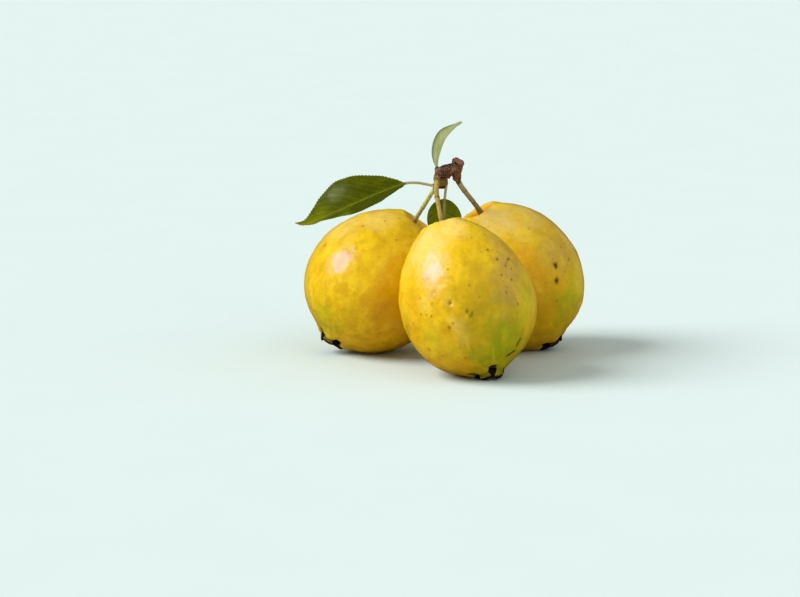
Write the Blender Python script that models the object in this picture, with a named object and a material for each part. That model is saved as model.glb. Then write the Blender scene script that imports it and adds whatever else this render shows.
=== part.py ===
"""A picked cluster of three ripe guavas: one cut twig, three stalks and three leaves.

All dimensions below are millimetres; new_object() turns them into metres. +Z is up and the
origin is the bottom centre of the cluster's box. The cluster rests on three small flat spots,
one under each fruit, where the ripe skin gives a little under the weight.
"""

import math
from collections import namedtuple

import bmesh
import bpy
from mathutils import Vector

MM = 0.001
CLEARANCE = 0.3                 # air between pieces that grow together
CURVE_STEPS = 16                # rows worked out between two points of a smooth path
UP = Vector((0, 0, 1))

# Fruits. A fruit's own axis runs from its calyx (blossom end) to its stem end; lean is how far
# the stem end moves along X and Y for each unit of height. taper narrows the stem end, square
# fills or slims both shoulders. sepals are the lengths of the calyx's five sepals, the first on
# the side away from the resting spot, and calyx_spread turns that one by so many degrees.
Fruit = namedtuple("Fruit", "centre lean length radius taper square lumps sepals calyx_spread")
FRUITS = {
    "front": Fruit((11.2, -30.3, 39.4), (-0.332, 0.299), 79.8, 33.2, 0.135, -0.031,
                   (0.4, 2.1, 4.0), (5.8, 4.7, 2.0, 2.0, 4.7), 0),
    "right": Fruit((37.7, 32.0, 38.6), (-0.526, 0.061), 78.7, 34.0, 0.070, -0.003,
                   (1.7, 0.3, 2.2), (4.0, 4.3, 2.4, 2.0, 3.8), 14),
    "left": Fruit((-33.4, 25.3, 37.8), (0.706, 0.149), 76.6, 35.1, 0.089, -0.031,
                  (2.9, 1.2, 0.5), (5.2, 4.4, 2.6, 2.2, 4.6), -20),
}
FRUIT_RINGS = 28
FRUIT_SEGMENTS = 40
POLE_CROWDING = 0.3             # rings stand closer together near both ends
LUMPS = ((2, 0.008), (3, 0.009), (5, 0.005))    # soft lobes around the fruit: how many, how high
STEM_PIT_DEPTH = 5.4
STEM_PIT_RADIUS = 6.0
STEM_RIM_HEIGHT = 1.3
STEM_RIM_RADIUS = 8.5
STEM_RIM_WIDTH = 3.2
CALYX_PIT_DEPTH = 2.4
CALYX_PIT_FLOOR_RADIUS = 5.5
CALYX_PIT_RIM_RADIUS = 7.2
SEPALS = 5                      # ridges of skin around the calyx, one for each sepal
COLLAR_RADIUS = 8.6             # raised ring of skin around the calyx, puckered by the sepals
COLLAR_WIDTH = 2.6
COLLAR_HEIGHT = 0.6
PUCKER_HEIGHT = 0.7
PUCKER_INNER = (4.5, 7.2)
PUCKER_OUTER = (8.0, 13.0)
FLAT_SPOT_DEPTH = 0.35          # how far the skin gives where the fruit rests

# Calyx: a small dried cup with five thick sepals.
SEPAL_NOTCH = 1.2               # height of the cup between two sepals
SEPAL_SHARPNESS = 2.0
CUP_LIFT = 0.6                  # air between the cup's back and the floor of the pit
CUP_RADIUS = 5.0
CUP_WALL = 1.1
CUP_FLARE = 0.03                # outward bend, per millimetre of height squared
CUP_SEGMENTS = 30
CUP_WALL_STEPS = 4

# Twig: a cut head with a spur below it, and a knob on its left that ends in a dry tip.
TWIG_HEAD = ((8.8, 9.6, 101.9), (7.4, 10.0, 97.8), (7.7, 11.4, 94.0), (7.9, 13.1, 91.4))
TWIG_HEAD_RADII = (3.1, 3.2, 2.4, 1.7)
TWIG_KNOB = ((7.2, 9.9, 98.4), (3.6, 9.6, 96.8), (0.3, 9.4, 94.4), (0.2, 9.5, 90.8), (0.2, 9.6, 87.4))
TWIG_KNOB_RADII = (2.6, 3.0, 4.2, 2.4, 1.6)
TWIG_STEPS = 14
TWIG_SIDES = 14

# Stalks, from the twig down into the stem pit; both ends are trimmed to fit.
STALKS = {
    "front": (((0.0, 7.4, 96.6), (-2.4, 3.4, 94.2), (-2.8, -2.4, 90.4), (-2.4, -9.4, 84.9),
               (-1.2, -16.4, 78.4), (1.1, -21.2, 69.7)), (1.3, 1.4, 1.25, 1.15, 1.1, 1.6)),
    "right": (((8.0, 12.4, 93.2), (8.5, 14.6, 90.2), (11.5, 18.6, 85.2), (15.3, 24.6, 79.7),
               (18.9, 30.4, 74.2), (22.4, 33.8, 67.7)), (1.2, 1.35, 1.3, 1.25, 1.3, 2.2)),
    "left": (((0.0, 11.0, 88.4), (-3.4, 12.2, 86.8), (-6.8, 17.6, 80.8), (-10.3, 23.6, 74.1),
              (-13.0, 28.0, 68.6), (-15.1, 29.2, 63.8)), (0.9, 1.2, 1.15, 1.1, 1.15, 1.7)),
}
STALK_STEPS = 14
STALK_SIDES = 10

# Leaves. path runs from the twig along the petiole and the midrib to the tip; petiole is the
# bare share of it. faces are the directions that the upper side looks in at the base and at the
# tip; fold is how far each half of the blade is folded up from flat, in degrees; tip is half the
# width of the rounded tip.
Leaf = namedtuple("Leaf", "path petiole half_width widest fold faces tip")
LEAVES = {
    "left": Leaf(((-0.2, 9.4, 90.2), (-3.9, 9.4, 88.9), (-8.4, 9.4, 89.7), (-13.5, 8.6, 90.5),
                  (-19.6, 7.1, 90.0), (-32.2, 5.6, 85.4), (-43.2, 3.6, 80.9), (-53.0, 1.6, 76.9),
                  (-62.5, 0.1, 73.2), (-69.9, -1.0, 71.1), (-74.1, -1.4, 71.4)),
                 0.24, 14.6, 0.50, 31, ((0.12, -0.66, 0.75), (0.0, -0.35, 0.94)), 1.6),
    "top": Leaf(((-1.6, 9.8, 95.4), (-2.4, 10.1, 97.8), (-2.9, 10.1, 101.8), (-2.4, 10.4, 106.9),
                 (-0.9, 10.6, 111.7), (1.6, 10.6, 115.5), (5.7, 10.9, 118.5), (10.2, 11.1, 121.1)),
                0.08, 6.6, 0.42, -5, ((0.95, 0.32, 0.0), (0.50, 0.32, -0.80)), 1.0),
    "hanging": Leaf(((1.6, 10.4, 91.6), (2.6, 11.6, 90.6), (2.1, 13.1, 86.1), (1.6, 14.3, 80.5),
                     (1.3, 14.2, 74.0), (1.8, 13.0, 66.0), (2.8, 11.2, 58.0), (3.6, 10.0, 50.0)),
                    0.27, 9.0, 0.33, 12, ((0.05, -0.95, 0.25), (0.05, -0.95, -0.25)), 0.25),
}
LEAF_STATIONS = 24
LEAF_SECTION_POINTS = 14
LEAF_THICKNESS = 0.55
PETIOLE_RADIUS = 0.62
BLADE_BLEND = 0.05              # share of the path over which the petiole opens into the blade
MIDRIB_HEIGHT = 0.5
MIDRIB_HALF_WIDTH = 0.9
FOLD_ROUNDING = 1.2
TIP_WIDTH = 0.25
TIP_START = 0.94                # share of the blade after which the tip rounds off
BASE_ROUNDNESS = 0.85           # powers of the blade's sine outline: a round base, a drawn-out tip
TIP_TAPER = 0.9

# Colours are linear RGB; the last two numbers are roughness and metallic.
SKIN = (0.80, 0.52, 0.06, 0.42, 0.0)
BARK = (0.10, 0.055, 0.025, 0.80, 0.0)
STALK_GREEN = (0.33, 0.27, 0.10, 0.60, 0.0)
LEAF_GREEN = (0.09, 0.12, 0.012, 0.42, 0.0)
DRY_CALYX = (0.05, 0.035, 0.012, 0.85, 0.0)


def clear_scene():
    for ob in list(bpy.data.objects):
        bpy.data.objects.remove(ob)


def smoothstep(low, high, x):
    t = min(max((x - low) / (high - low), 0.0), 1.0)
    return t * t * (3 - 2 * t)


def material(name, finish):
    mat = bpy.data.materials.new(name)
    mat.use_nodes = True
    shader = mat.node_tree.nodes["Principled BSDF"]
    shader.inputs["Base Color"].default_value = (*finish[:3], 1)
    shader.inputs["Roughness"].default_value = finish[3]
    shader.inputs["Metallic"].default_value = finish[4]
    return mat


def new_object(name, bm, mat):
    """Makes an object, in metres, from a mesh drawn in millimetres."""
    bmesh.ops.recalc_face_normals(bm, faces=bm.faces)
    bmesh.ops.scale(bm, vec=(MM, MM, MM), verts=bm.verts)
    mesh = bpy.data.meshes.new(name)
    bm.to_mesh(mesh)
    bm.free()
    mesh.shade_smooth()
    mesh.set_sharp_from_angle(angle=math.radians(40))
    mesh.materials.append(mat)
    ob = bpy.data.objects.new(name, mesh)
    bpy.context.scene.collection.objects.link(ob)
    return ob


def skin_rings(rings):
    """Joins rings of points into one closed skin; a ring of one point is a pole."""
    bm = bmesh.new()
    rows = [[bm.verts.new(p) for p in ring] for ring in rings]
    for low, high in zip(rows, rows[1:]):
        count = max(len(low), len(high))
        for i in range(count):
            j = (i + 1) % count
            corners = [low[i % len(low)], low[j % len(low)], high[j % len(high)], high[i % len(high)]]
            bm.faces.new(list(dict.fromkeys(corners)))
    for row, step in ((rows[0], -1), (rows[-1], 1)):
        if len(row) > 1:
            bm.faces.new(row[::step])
    return bm


def fruit_frame(fruit):
    """Turn from the fruit's own frame (+Z towards the stem) to the cluster's frame."""
    axis = Vector((*fruit.lean, 1)).normalized()
    return UP.rotation_difference(axis), Vector(fruit.centre)


def calyx_angle(fruit):
    """Direction, around the fruit's axis, of the calyx's first and longest sepal."""
    return math.atan2(-fruit.lean[1], -fruit.lean[0]) + math.radians(fruit.calyx_spread)


def fruit_point(fruit, theta, phi):
    """A point of the skin; theta runs from the stem end, phi around the axis."""
    c = math.cos(theta)
    s = math.sin(theta)
    swell = 1 + sum(a * s * math.sin(k * phi + p) for (k, a), p in zip(LUMPS, fruit.lumps))
    rho = fruit.radius * s * (1 - fruit.taper * c + fruit.square * c * c) * swell
    axial = fruit.length / 2 * c
    if c > 0:
        axial -= STEM_PIT_DEPTH * math.exp(-(rho / STEM_PIT_RADIUS) ** 2)
        axial += STEM_RIM_HEIGHT * math.exp(-((rho - STEM_RIM_RADIUS) / STEM_RIM_WIDTH) ** 2)
        return Vector((rho * math.cos(phi), rho * math.sin(phi), axial))
    ridge = math.cos(SEPALS * (phi - calyx_angle(fruit)))
    window = smoothstep(*PUCKER_INNER, rho) * (1 - smoothstep(*PUCKER_OUTER, rho))
    axial -= COLLAR_HEIGHT * math.exp(-((rho - COLLAR_RADIUS) / COLLAR_WIDTH) ** 2)
    axial -= PUCKER_HEIGHT * ridge * window
    axial += CALYX_PIT_DEPTH * (1 - smoothstep(CALYX_PIT_FLOOR_RADIUS, CALYX_PIT_RIM_RADIUS, rho))
    return Vector((rho * math.cos(phi), rho * math.sin(phi), axial))


def fruit_mesh(fruit):
    """The whole fruit, lowered until its resting spot is pressed flat on the ground."""
    turn, centre = fruit_frame(fruit)
    rings = []
    for i in range(FRUIT_RINGS + 1):
        t = i / FRUIT_RINGS
        theta = math.pi * t - POLE_CROWDING * math.sin(2 * math.pi * t)
        count = 1 if i in (0, FRUIT_RINGS) else FRUIT_SEGMENTS
        angles = [2 * math.pi * k / FRUIT_SEGMENTS for k in range(count)]
        rings.append([turn @ fruit_point(fruit, theta, phi) + centre for phi in angles])
    drop = min(p.z for ring in rings for p in ring) + FLAT_SPOT_DEPTH
    bm = skin_rings([[p - UP * drop for p in ring] for ring in rings])
    geom = bm.verts[:] + bm.edges[:] + bm.faces[:]
    bmesh.ops.bisect_plane(bm, geom=geom, plane_co=(0, 0, 0), plane_no=-UP, clear_outer=True)
    bmesh.ops.holes_fill(bm, edges=[e for e in bm.edges if e.is_boundary])
    return bm, drop


def cup_profile(length):
    """The cup's section from the middle of its back, over the sepal's tip, to the middle inside."""
    steps = [k / CUP_WALL_STEPS for k in range(CUP_WALL_STEPS + 1)]
    outer = [(CUP_RADIUS + CUP_FLARE * (length * v) ** 2, length * v) for v in steps]
    inner = [(r - CUP_WALL, h + CUP_WALL * (1 - v) ** 2) for (r, h), v in zip(outer, steps)]
    return [(0, 0), (CUP_RADIUS / 2, 0)] + outer + inner[::-1] + [(CUP_RADIUS / 2, CUP_WALL), (0, CUP_WALL)]


def calyx_mesh(fruit, drop):
    """Dried cup in the fruit's calyx pit, its rim drawn out into five sepals."""
    turn, centre = fruit_frame(fruit)
    floor = -fruit.length / 2 + CALYX_PIT_DEPTH - CUP_LIFT
    sector = 2 * math.pi / SEPALS
    columns = []
    for i in range(CUP_SEGMENTS):
        around = 2 * math.pi * i / CUP_SEGMENTS
        sepal = round(around / sector)
        off_middle = abs(around / sector - sepal) * 2
        reach = fruit.sepals[sepal % SEPALS] - SEPAL_NOTCH
        length = SEPAL_NOTCH + reach * (1 - off_middle ** SEPAL_SHARPNESS)
        phi = calyx_angle(fruit) + around
        columns.append([Vector((r * math.cos(phi), r * math.sin(phi), floor - h))
                        for r, h in cup_profile(length)])
    rings = [list(row) for row in zip(*columns)]
    rings[0] = rings[0][:1]
    rings[-1] = rings[-1][:1]
    return skin_rings([[turn @ p + centre - UP * drop for p in ring] for ring in rings])


def curve_rows(points, values):
    """A Catmull-Rom curve through points and the values they carry, as closely spaced rows."""
    rows = [Vector((*p, v)) for p, v in zip(points, values)]
    rows = [2 * rows[0] - rows[1]] + rows + [2 * rows[-1] - rows[-2]]
    found = []
    for a, b, c, d in zip(rows, rows[1:], rows[2:], rows[3:]):
        for i in range(CURVE_STEPS):
            t = i / CURVE_STEPS
            bend = (2 * a - 5 * b + 4 * c - d) * t ** 2 + (3 * b - a - 3 * c + d) * t ** 3
            found.append((2 * b + (c - a) * t + bend) / 2)
    return found + [rows[-2]]


def smooth_path(points, values, steps):
    """Points and values at even distances along the smooth curve through the given ones."""
    rows = curve_rows(points, values)
    lengths = [0]
    for before, after in zip(rows, rows[1:]):
        lengths.append(lengths[-1] + (after - before).xyz.length)
    found = []
    for i in range(steps + 1):
        want = lengths[-1] * i / steps
        k = next(k for k in range(1, len(rows)) if lengths[k] >= want or k == len(rows) - 1)
        share = (want - lengths[k - 1]) / (lengths[k] - lengths[k - 1])
        found.append(rows[k - 1].lerp(rows[k], share))
    return [row.xyz for row in found], [row.w for row in found]


def tangents(path):
    padded = [2 * path[0] - path[1]] + path + [2 * path[-1] - path[-2]]
    return [(after - before).normalized() for before, after in zip(padded, padded[2:])]


def tube_mesh(points, radii, steps, sides):
    """A round, tapering tube along a smooth path, with flat ends."""
    path, widths = smooth_path(points, radii, steps)
    along = tangents(path)
    across = along[0].orthogonal().normalized()
    rings = []
    for centre, width, tangent in zip(path, widths, along):
        across = (across - tangent * across.dot(tangent)).normalized()
        third = tangent.cross(across)
        angles = [2 * math.pi * k / sides for k in range(sides)]
        rings.append([centre + width * (across * math.cos(a) + third * math.sin(a)) for a in angles])
    return skin_rings(rings)


def leaf_half_width(leaf, s):
    """Half the leaf's width at share s of its path, petiole included."""
    if s <= leaf.petiole:
        return PETIOLE_RADIUS
    b = (s - leaf.petiole) / (1 - leaf.petiole)
    power = math.log(0.5) / math.log(leaf.widest)
    blade = leaf.half_width * math.sin(math.pi * b ** power) ** (BASE_ROUNDNESS + TIP_TAPER * b * b)
    past = max(0, (b - TIP_START) / (1 - TIP_START))
    tip = leaf.tip * math.sqrt(max(0, 1 - past * past)) * smoothstep(0, TIP_START, b)
    return max(blade, PETIOLE_RADIUS * (1 - b), tip, TIP_WIDTH)


def leaf_mesh(leaf):
    """Petiole and blade as one closed loft, folded along a midrib that stands proud below."""
    path, _ = smooth_path(leaf.path, [0] * len(leaf.path), LEAF_STATIONS)
    base_face, tip_face = (Vector(f) for f in leaf.faces)
    fold = math.radians(leaf.fold)
    rings = []
    for i, (centre, tangent) in enumerate(zip(path, tangents(path))):
        s = i / LEAF_STATIONS
        face = base_face.lerp(tip_face, s * s)
        face = (face - tangent * face.dot(tangent)).normalized()
        across = tangent.cross(face)
        width = leaf_half_width(leaf, s)
        opened = smoothstep(leaf.petiole, leaf.petiole + BLADE_BLEND, s)
        thickness = PETIOLE_RADIUS + (LEAF_THICKNESS / 2 - PETIOLE_RADIUS) * opened
        midrib = MIDRIB_HEIGHT * opened * (1 - s)
        ring = []
        for k in range(LEAF_SECTION_POINTS):
            angle = 2 * math.pi * k / LEAF_SECTION_POINTS
            x = width * math.cos(angle)
            h = thickness * math.sin(angle)
            if h < 0:
                h -= midrib * math.exp(-(x / MIDRIB_HALF_WIDTH) ** 2)
            lift = math.sqrt(x * x + FOLD_ROUNDING ** 2) - FOLD_ROUNDING
            bend = fold * opened
            ring.append(centre + across * x * math.cos(bend) + face * (lift * math.sin(bend) + h))
        rings.append(ring)
    return skin_rings(rings)


def boolean(ob, other, operation):
    mod = ob.modifiers.new(f"{operation.lower()} {other.name}", "BOOLEAN")
    mod.operation = operation
    mod.solver = "EXACT"
    mod.object = other


def guide(ob):
    """Marks a cutter: drawn as wire and not part of the model."""
    ob.hide_render = True
    ob.display_type = "WIRE"
    return ob


def inflated(ob, name):
    """A copy of a piece's final shape, grown by the clearance, to trim its neighbours with."""
    bpy.context.view_layer.update()
    evaluated = ob.evaluated_get(bpy.context.evaluated_depsgraph_get())
    mesh = bpy.data.meshes.new_from_object(evaluated)
    normals = [v.normal.copy() for v in mesh.vertices]
    for vertex, normal in zip(mesh.vertices, normals):
        vertex.co += normal * CLEARANCE * MM
    cutter = bpy.data.objects.new(name, mesh)
    bpy.context.scene.collection.objects.link(cutter)
    return guide(cutter)


def make_twig(bark):
    twig = new_object("twig", tube_mesh(TWIG_KNOB, TWIG_KNOB_RADII, TWIG_STEPS, TWIG_SIDES), bark)
    head = new_object("twig_head", tube_mesh(TWIG_HEAD, TWIG_HEAD_RADII, TWIG_STEPS, TWIG_SIDES), bark)
    boolean(twig, guide(head), "UNION")
    return twig


def main():
    clear_scene()
    skin = material("guava skin", SKIN)
    bark = material("twig bark", BARK)
    stalk_green = material("stalk", STALK_GREEN)
    leaf_green = material("leaf", LEAF_GREEN)
    dry_calyx = material("dry calyx", DRY_CALYX)

    twig = make_twig(bark)
    twig_cutter = inflated(twig, "twig_clearance")
    for place, fruit in FRUITS.items():
        mesh, drop = fruit_mesh(fruit)
        body = new_object(f"fruit_{place}", mesh, skin)
        new_object(f"calyx_{place}", calyx_mesh(fruit, drop), dry_calyx)
        path, radii = STALKS[place]
        stalk = new_object(f"stem_{place}", tube_mesh(path, radii, STALK_STEPS, STALK_SIDES), stalk_green)
        boolean(stalk, twig_cutter, "DIFFERENCE")
        boolean(stalk, inflated(body, f"fruit_{place}_clearance"), "DIFFERENCE")
    for place, leaf in LEAVES.items():
        blade = new_object(f"leaf_{place}", leaf_mesh(leaf), leaf_green)
        boolean(blade, twig_cutter, "DIFFERENCE")


main()
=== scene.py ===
"""Looks for a picked cluster of three ripe guavas on one cut twig with three leaves.

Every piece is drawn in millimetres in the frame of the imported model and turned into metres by
piece(). The base shapes follow the CAD formulae, at a finer step and with grown detail added.
"""

import math
from collections import namedtuple

import bpy
import numpy as np
from mathutils import Euler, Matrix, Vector


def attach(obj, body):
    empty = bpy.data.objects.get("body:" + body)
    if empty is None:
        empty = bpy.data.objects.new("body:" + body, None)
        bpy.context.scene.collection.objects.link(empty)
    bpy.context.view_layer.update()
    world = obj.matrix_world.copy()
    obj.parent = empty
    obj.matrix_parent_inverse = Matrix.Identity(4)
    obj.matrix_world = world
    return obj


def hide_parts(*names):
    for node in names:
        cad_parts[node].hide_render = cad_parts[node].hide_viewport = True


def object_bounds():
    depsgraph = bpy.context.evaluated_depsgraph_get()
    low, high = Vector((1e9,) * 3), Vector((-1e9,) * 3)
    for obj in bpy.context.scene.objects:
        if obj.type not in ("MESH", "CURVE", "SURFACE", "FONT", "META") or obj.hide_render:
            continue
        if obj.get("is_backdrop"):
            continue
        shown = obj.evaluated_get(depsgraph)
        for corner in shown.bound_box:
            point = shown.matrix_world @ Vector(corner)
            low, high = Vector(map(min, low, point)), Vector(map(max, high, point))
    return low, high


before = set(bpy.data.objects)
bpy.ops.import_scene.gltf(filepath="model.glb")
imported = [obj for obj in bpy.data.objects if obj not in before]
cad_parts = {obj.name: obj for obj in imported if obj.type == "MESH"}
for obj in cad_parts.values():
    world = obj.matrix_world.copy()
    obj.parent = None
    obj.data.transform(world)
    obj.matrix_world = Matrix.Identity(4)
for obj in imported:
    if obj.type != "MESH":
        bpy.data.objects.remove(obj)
cad_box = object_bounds()

MM = 0.001
UP = Vector((0, 0, 1))

# -------------------- shapes shared with the CAD

Fruit = namedtuple("Fruit", "centre lean length radius taper square lumps sepals calyx_spread")
FRUITS = {
    "front": Fruit((11.2, -30.3, 39.4), (-0.332, 0.299), 79.8, 33.2, 0.135, -0.031,
                   (0.4, 2.1, 4.0), (5.8, 4.7, 2.0, 2.0, 4.7), 0),
    "right": Fruit((37.7, 32.0, 38.6), (-0.526, 0.061), 78.7, 34.0, 0.070, -0.003,
                   (1.7, 0.3, 2.2), (4.0, 4.3, 2.4, 2.0, 3.8), 14),
    "left": Fruit((-33.4, 25.3, 37.8), (0.706, 0.149), 76.6, 35.1, 0.089, -0.031,
                  (2.9, 1.2, 0.5), (5.2, 4.4, 2.6, 2.2, 4.6), -20),
}
CAD_FRUIT_RINGS = 28
CAD_FRUIT_SEGMENTS = 40
POLE_CROWDING = 0.3                     # rings stand closer together near both ends
LUMPS = ((2, 0.008), (3, 0.009), (5, 0.005))
STEM_PIT = (5.4, 6.0)                   # depth, radius
STEM_RIM = (1.3, 8.5, 3.2)              # height, radius, width
CALYX_PIT = (2.4, 5.5, 7.2)             # depth, floor radius, rim radius
COLLAR = (0.6, 8.6, 2.6)                # height, radius, width
PUCKER_HEIGHT = 0.7
PUCKER_INNER = (4.5, 7.2)
PUCKER_OUTER = (8.0, 13.0)
FLAT_SPOT_DEPTH = 0.35
SEPALS = 5
CUP_LIFT = 0.6                          # air between the cup's back and the floor of the pit

TWIG_HEAD = (((8.8, 9.6, 101.9), (7.4, 10.0, 97.8), (7.7, 11.4, 94.0), (7.9, 13.1, 91.4)),
             (3.1, 3.2, 2.4, 1.7))
TWIG_KNOB = (((7.2, 9.9, 98.4), (3.6, 9.6, 96.8), (0.3, 9.4, 94.4), (0.2, 9.5, 90.8), (0.2, 9.6, 87.4)),
             (2.6, 3.0, 4.2, 2.4, 1.6))
STALKS = {
    "front": (((0.0, 7.4, 96.6), (-2.4, 3.4, 94.2), (-2.8, -2.4, 90.4), (-2.4, -9.4, 84.9),
               (-1.2, -16.4, 78.4), (1.1, -21.2, 69.7)), (1.3, 1.4, 1.25, 1.15, 1.1, 1.6)),
    "right": (((8.0, 12.4, 93.2), (8.5, 14.6, 90.2), (11.5, 18.6, 85.2), (15.3, 24.6, 79.7),
               (18.9, 30.4, 74.2), (22.4, 33.8, 67.7)), (1.2, 1.35, 1.3, 1.25, 1.3, 2.2)),
    "left": (((0.0, 11.0, 88.4), (-3.4, 12.2, 86.8), (-6.8, 17.6, 80.8), (-10.3, 23.6, 74.1),
              (-13.0, 28.0, 68.6), (-15.1, 29.2, 63.8)), (0.9, 1.2, 1.15, 1.1, 1.15, 1.7)),
}
Leaf = namedtuple("Leaf", "path petiole half_width widest fold faces tip")
LEAVES = {
    "left": Leaf(((-0.2, 9.4, 90.2), (-3.9, 9.4, 88.9), (-8.4, 9.4, 89.7), (-13.5, 8.6, 90.5),
                  (-19.6, 7.1, 90.0), (-32.2, 5.6, 85.4), (-43.2, 3.6, 80.9), (-53.0, 1.6, 76.9),
                  (-62.5, 0.1, 73.2), (-69.9, -1.0, 71.1), (-74.1, -1.4, 71.4)),
                 0.24, 14.6, 0.50, 31, ((0.12, -0.66, 0.75), (0.0, -0.35, 0.94)), 2.1),
    "top": Leaf(((-1.6, 9.8, 95.4), (-2.4, 10.1, 97.8), (-2.9, 10.1, 101.8), (-2.4, 10.4, 106.9),
                 (-0.9, 10.6, 111.7), (1.6, 10.6, 115.5), (5.7, 10.9, 118.5), (10.2, 11.1, 121.1)),
                0.08, 6.6, 0.42, -5, ((0.95, 0.32, 0.0), (0.50, 0.32, -0.80)), 1.7),
    "hanging": Leaf(((1.6, 10.4, 91.6), (2.6, 11.6, 90.6), (2.1, 13.1, 86.1), (1.6, 14.3, 80.5),
                     (1.3, 14.2, 74.0), (1.8, 13.0, 66.0), (2.8, 11.2, 58.0), (3.6, 10.0, 50.0)),
                    0.27, 9.0, 0.33, 12, ((0.05, -0.95, 0.25), (0.05, -0.95, -0.25)), 0.25),
}
LEAF_THICKNESS = 0.55
PETIOLE_RADIUS = 0.68
BLADE_BLEND = 0.05
MIDRIB_HEIGHT = 0.5
MIDRIB_HALF_WIDTH = 0.9
FOLD_ROUNDING = 1.2
TIP_WIDTH = 0.25
BASE_ROUNDNESS = 0.85

# -------------------- fineness of the visual model

FRUIT_RINGS = 290
FRUIT_SEGMENTS = 320
CUP_SEGMENTS = 120
SEPAL_STEPS = 44
SEPAL_SIDES = 56
STALK_STEPS = 300
STALK_SIDES = 44
LEAF_STEPS = 420
LEAF_SIDE_POINTS = 60

# -------------------- numeric helpers


def smoothstep(low, high, x):
    t = np.clip((x - low) / (high - low), 0, 1)
    return t * t * (3 - 2 * t)


def fall(low, high, x):
    return 1 - smoothstep(low, high, x)


def bell(x, middle, width):
    return np.exp(-((x - middle) / width) ** 2)


def unit(v):
    return v / np.linalg.norm(v, axis=-1, keepdims=True)


def stacked(*columns):
    """Points from their coordinates, which may be of any shapes that go together."""
    return np.stack(np.broadcast_arrays(*columns), -1)


def noise(points, size, seed):
    """Smooth noise of about -1 to 1 at each point; size is the width of one lump."""
    draw = np.random.RandomState(seed)
    order = draw.permutation(256)
    slopes = unit(draw.normal(size=(256, 3)))
    p = points / size
    cell = np.floor(p).astype(int)
    f = p - cell
    ease = f * f * f * (f * (6 * f - 15) + 10)
    total = np.zeros(p.shape[:-1])
    for corner in np.ndindex(2, 2, 2):
        c = (cell + corner) & 255
        index = order[(order[(order[c[..., 0]] + c[..., 1]) & 255] + c[..., 2]) & 255]
        share = np.prod(np.where(corner, ease, 1 - ease), axis=-1)
        total += share * (slopes[index] * (f - corner)).sum(-1)
    return total * 1.6


def fractal(points, size, seed, octaves=4):
    return sum(noise(points, size / 2 ** k, seed + 7 * k) / 2 ** k for k in range(octaves))


def grid_normals(rings):
    """Outward normals of a grid of points that closes round its second index."""
    around = np.roll(rings, -1, axis=1) - np.roll(rings, 1, axis=1)
    along = np.gradient(rings, axis=0)
    normals = unit(np.cross(around, along) + 1e-12)
    outward = ((rings - rings.mean(1, keepdims=True)) * normals).sum() > 0
    return normals if outward else -normals


# -------------------- meshes


def loft(rings, **masks):
    """Points, faces and masks of one closed skin through rings of points; each end closes to its middle."""
    rows, count = rings.shape[:2]
    points = np.concatenate([rings[:1].mean(1), rings.reshape(-1, 3), rings[-1:].mean(1)])
    ids = 1 + np.arange(rows * count).reshape(rows, count)
    after = np.roll(ids, -1, axis=1)
    quads = np.stack([ids[:-1], after[:-1], after[1:], ids[1:]], -1).reshape(-1, 4)
    first = np.stack([np.zeros(count, int), after[0], ids[0]], -1)
    last = np.stack([np.full(count, rows * count + 1), ids[-1], after[-1]], -1)
    faces = quads.tolist() + first.tolist() + last.tolist()
    a, b, c, d = (points[quads[:, k]] for k in range(4))
    volume = (np.cross(b - a, c - a) * a).sum() + (np.cross(c - a, d - a) * a).sum()
    if volume < 0:
        faces = [face[::-1] for face in faces]
    spread = {}
    for name, values in masks.items():
        values = np.broadcast_to(values, (rows, count))
        spread[name] = np.concatenate([[values[0].mean()], values.ravel(), [values[-1].mean()]])
    return points, faces, spread


def mesh_of(name, shells):
    """One mesh, in metres, from several closed skins, with their masks as attributes."""
    points, faces, start = [], [], 0
    names = sorted({mask for shell in shells for mask in shell[2]})
    masks = {mask: [] for mask in names}
    for co, polygons, values in shells:
        points.append(co)
        faces += [[k + start for k in polygon] for polygon in polygons]
        start += len(co)
        for mask in names:
            masks[mask].append(values.get(mask, np.zeros(len(co))))
    mesh = bpy.data.meshes.new(name)
    mesh.from_pydata((np.concatenate(points) * MM).tolist(), [], faces)
    for mask in names:
        add_mask(mesh, mask, np.concatenate(masks[mask]))
    mesh.shade_smooth()
    return mesh


def add_mask(mesh, name, values):
    made = mesh.attributes.new(name, "FLOAT", "POINT")
    made.data.foreach_set("value", np.ascontiguousarray(values, dtype=np.float32))


def add_object(name, data):
    ob = bpy.data.objects.new(name, data)
    bpy.context.scene.collection.objects.link(ob)
    return ob


def piece(name, mesh, material, node):
    """Puts a mesh in the scene as a piece that stands for one CAD node."""
    ob = add_object(name, mesh)
    mesh.materials.append(material)
    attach(ob, "root")
    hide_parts(node)
    return ob


def curve_points(points, values, steps):
    """Points and values at even distances along the smooth curve through the given ones."""
    rows = np.column_stack([points, np.broadcast_to(values, len(points))]).astype(float)
    rows = np.vstack([2 * rows[0] - rows[1], rows, 2 * rows[-1] - rows[-2]])
    found = []
    for a, b, c, d in zip(rows, rows[1:], rows[2:], rows[3:]):
        t = np.arange(0, 1, 1 / 16)[:, None]
        bend = (2 * a - 5 * b + 4 * c - d) * t ** 2 + (3 * b - a - 3 * c + d) * t ** 3
        found.append((2 * b + (c - a) * t + bend) / 2)
    found = np.vstack([*found, rows[-2:-1]])
    lengths = np.r_[0, np.cumsum(np.linalg.norm(np.diff(found[:, :3], axis=0), axis=1))]
    wanted = np.linspace(0, lengths[-1], steps + 1)
    even = np.column_stack([np.interp(wanted, lengths, column) for column in found.T])
    for _ in range(4):                  # rounds off the corners between the curve's own rows
        even[1:-1] = (even[:-2] + 2 * even[1:-1] + even[2:]) / 4
    return even[:, :3], even[:, 3]


def directions(path):
    return unit(np.gradient(path, axis=0))


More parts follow.
